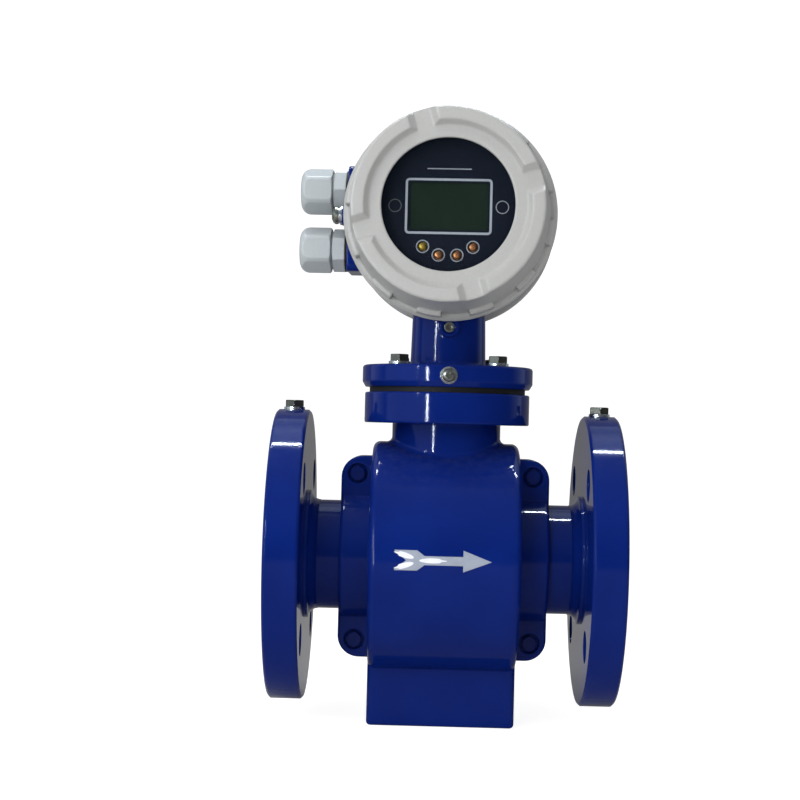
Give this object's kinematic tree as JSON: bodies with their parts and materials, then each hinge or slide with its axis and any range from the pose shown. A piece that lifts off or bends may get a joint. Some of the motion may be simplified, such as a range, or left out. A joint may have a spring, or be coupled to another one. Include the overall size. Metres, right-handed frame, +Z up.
{
  "type": "electromagnetic flow meter",
  "caption": "Flanged electromagnetic flow meter: lined steel tube in a cast clamshell with a foot, and a swivelling round display head with screw-on covers and cable glands.",
  "frame": {"origin": "centre of the flow bore, on its axis and midway between the two flange faces", "axes": "+X along the flow from inlet to outlet, +Z up to the display head, so the display looks towards -Y"},
  "size_m": [0.2, 0.165, 0.3476],
  "materials": {
    "blue_paint": "glossy deep blue paint over steel or cast aluminium",
    "cover_paint": "satin light grey powder coat over cast aluminium",
    "stainless": "bright stainless fasteners",
    "blue_steel": "steel fasteners painted over with the body",
    "soft_iron": "bare machined soft iron",
    "copper_wire": "enamelled copper winding",
    "brass": "plain brass",
    "liner_white": "white fluoropolymer liner",
    "rubber_black": "black rubber",
    "gland_grey": "light grey moulded nylon",
    "window_glass": "clear toughened glass",
    "panel_navy": "printed navy front panel",
    "black_plastic": "black moulded plastic",
    "display_green": "dark green liquid crystal, switched off",
    "board_green": "green circuit board",
    "button_copper": "copper coloured button",
    "button_gold": "gold coloured button",
    "terminal_green": "green moulded terminal block"
  },
  "bodies": {
    "sensor": {"measuring_tube": "blue_paint", "liner": "liner_white", "inlet_flange": "blue_paint", "outlet_flange": "blue_paint", "flange_ground_screws": "stainless", "ground_washers": "stainless", "front_shell": "blue_paint", "rear_shell": "blue_paint", "seam_gasket": "rubber_black", "collar_seals": "rubber_black", "shell_bolts": "blue_steel", "shell_nuts": "blue_steel", "pole_piece_upper": "soft_iron", "pole_piece_lower": "soft_iron", "coil_upper": "copper_wire", "coil_lower": "copper_wire", "magnetic_yoke": "soft_iron", "sensor_leads": "rubber_black", "lead_feedthrough": "black_plastic", "electrode_front": "stainless", "electrode_rear": "stainless", "electrode_bushes": "liner_white", "electrode_nuts": "stainless", "neck_gasket": "rubber_black", "neck_seat": "blue_paint", "neck_bolts": "stainless", "neck_washers": "stainless", "neck_ground_screw": "stainless", "neck_set_screw": "stainless"},
    "head": {"housing": "blue_paint", "stem_seal": "rubber_black", "gland_bodies": "gland_grey", "gland_washers": "rubber_black", "housing_ground_screw": "stainless", "housing_ground_washers": "stainless", "faceplate": "panel_navy", "display_carrier": "black_plastic", "lcd_module": "display_green", "display_board": "board_green", "tact_switches": "black_plastic", "main_board": "board_green", "power_board": "board_green", "board_posts": "brass", "terminal_block": "terminal_green", "terminal_screws": "stainless"},
    "front_seal_ring": {"front_cover_seal": "rubber_black"},
    "front_cover": {"front_cover": "cover_paint", "window_gasket": "rubber_black", "window_glass": "window_glass", "window_retainer": "stainless"},
    "rear_seal_ring": {"rear_cover_seal": "rubber_black"},
    "rear_cover": {"rear_cover": "cover_paint"},
    "upper_gland_seal": {"gland_seal_upper": "rubber_black"},
    "upper_gland_nut": {"gland_nut_upper": "gland_grey"},
    "lower_gland_seal": {"gland_seal_lower": "rubber_black"},
    "lower_gland_nut": {"gland_nut_lower": "gland_grey"},
    "button_1": {"button_1": "button_gold"},
    "button_2": {"button_2": "button_copper"},
    "button_3": {"button_3": "button_copper"},
    "button_4": {"button_4": "button_copper"}
  },
  "joints": [
    {"name": "head_swivel", "type": "hinge", "parent": "sensor", "child": "head", "pos_m": [0, 0, 0.1376], "axis": [0, 0, 1], "range_deg": [-175, 175]},
    {"name": "front_cover_travel", "type": "slide", "parent": "head", "child": "front_seal_ring", "axis": [-0.0419, -0.9991, 0], "range_m": [0, 0.01402]},
    {"name": "front_cover_turn", "type": "hinge", "parent": "front_seal_ring", "child": "front_cover", "pos_m": [0, 0, 0.1936], "axis": [-0.0419, -0.9991, 0], "range_deg": [0, 2520]},
    {"name": "rear_cover_travel", "type": "slide", "parent": "head", "child": "rear_seal_ring", "axis": [0.0419, 0.9991, 0], "range_m": [0, 0.01402]},
    {"name": "rear_cover_turn", "type": "hinge", "parent": "rear_seal_ring", "child": "rear_cover", "pos_m": [0, 0, 0.1936], "axis": [0.0419, 0.9991, 0], "range_deg": [0, 2520]},
    {"name": "upper_gland_nut_travel", "type": "slide", "parent": "head", "child": "upper_gland_seal", "axis": [-0.9991, 0.0419, 0], "range_m": [0, 0.012]},
    {"name": "upper_gland_nut_turn", "type": "hinge", "parent": "upper_gland_seal", "child": "upper_gland_nut", "pos_m": [-0.06071, 0.01055, 0.2095], "axis": [-0.9991, 0.0419, 0], "range_deg": [0, 2882]},
    {"name": "lower_gland_nut_travel", "type": "slide", "parent": "head", "child": "lower_gland_seal", "axis": [-0.9991, 0.0419, 0], "range_m": [0, 0.012]},
    {"name": "lower_gland_nut_turn", "type": "hinge", "parent": "lower_gland_seal", "child": "lower_gland_nut", "pos_m": [-0.06071, 0.01055, 0.1755], "axis": [-0.9991, 0.0419, 0], "range_deg": [0, 2882]},
    {"name": "button_1_press", "type": "slide", "parent": "head", "child": "button_1", "axis": [0.0419, 0.9991, 0], "range_m": [0, 0.0006], "stiffness_N_per_m": 1500, "springref_m": -0.0006},
    {"name": "button_2_press", "type": "slide", "parent": "head", "child": "button_2", "axis": [0.0419, 0.9991, 0], "range_m": [0, 0.0006], "stiffness_N_per_m": 1500, "springref_m": -0.0006},
    {"name": "button_3_press", "type": "slide", "parent": "head", "child": "button_3", "axis": [0.0419, 0.9991, 0], "range_m": [0, 0.0006], "stiffness_N_per_m": 1500, "springref_m": -0.0006},
    {"name": "button_4_press", "type": "slide", "parent": "head", "child": "button_4", "axis": [0.0419, 0.9991, 0], "range_m": [0, 0.0006], "stiffness_N_per_m": 1500, "springref_m": -0.0006}
  ],
  "couplings": [
    {"joint": "front_cover_travel", "follows": "front_cover_turn", "m_per_rad": 0.00031831},
    {"joint": "rear_cover_travel", "follows": "rear_cover_turn", "m_per_rad": 0.00031831},
    {"joint": "upper_gland_nut_turn", "follows": "upper_gland_nut_travel", "rad_per_m": 4188.8},
    {"joint": "lower_gland_nut_turn", "follows": "lower_gland_nut_travel", "rad_per_m": 4188.8}
  ]
}
